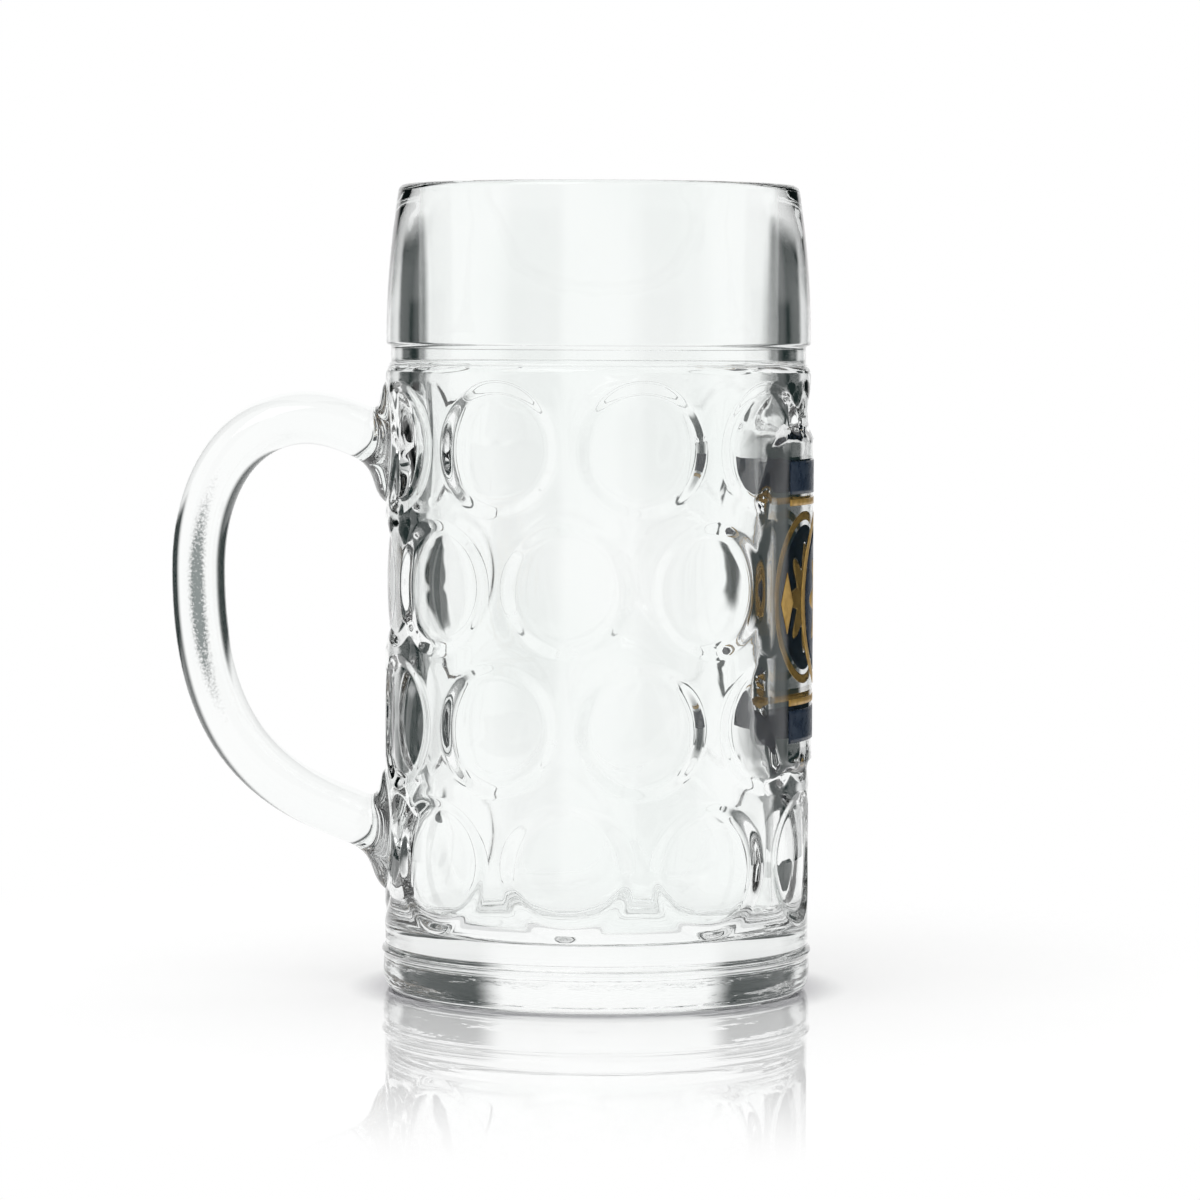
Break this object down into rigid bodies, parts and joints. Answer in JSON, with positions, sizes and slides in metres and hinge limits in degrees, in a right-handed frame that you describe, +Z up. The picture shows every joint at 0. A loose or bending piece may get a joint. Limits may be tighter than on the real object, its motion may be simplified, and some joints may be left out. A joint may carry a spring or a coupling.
{
  "type": "beer mug",
  "caption": "Tall thick-walled glass beer mug with rows of round pressed eyes, a smooth drinking band, a welded bow handle and an enamel print opposite it.",
  "frame": {"origin": "on the cup's axis, in the plane of the standing ring", "axes": "+Z up along the cup's axis, the handle towards -X and the printed panel towards +X"},
  "size_m": [0.16, 0.1072, 0.2],
  "materials": {
    "clear_glass": "fire-polished clear pressed glass with a faint green-grey tint in thick parts",
    "dark_enamel": "fired blue-black enamel, satin gloss",
    "gold_enamel": "fired gold-coloured enamel, soft metallic gloss"
  },
  "bodies": {
    "root": {"mug_body": "clear_glass", "handle": "clear_glass", "print_disc": "dark_enamel", "print_rosette": "gold_enamel", "print_ring": "gold_enamel", "print_bar_upper": "dark_enamel", "print_bar_lower": "dark_enamel", "print_stripe_upper": "gold_enamel", "print_stripe_lower": "gold_enamel", "print_lozenge_left": "gold_enamel", "print_lozenge_right": "gold_enamel"}
  },
  "joints": []
}
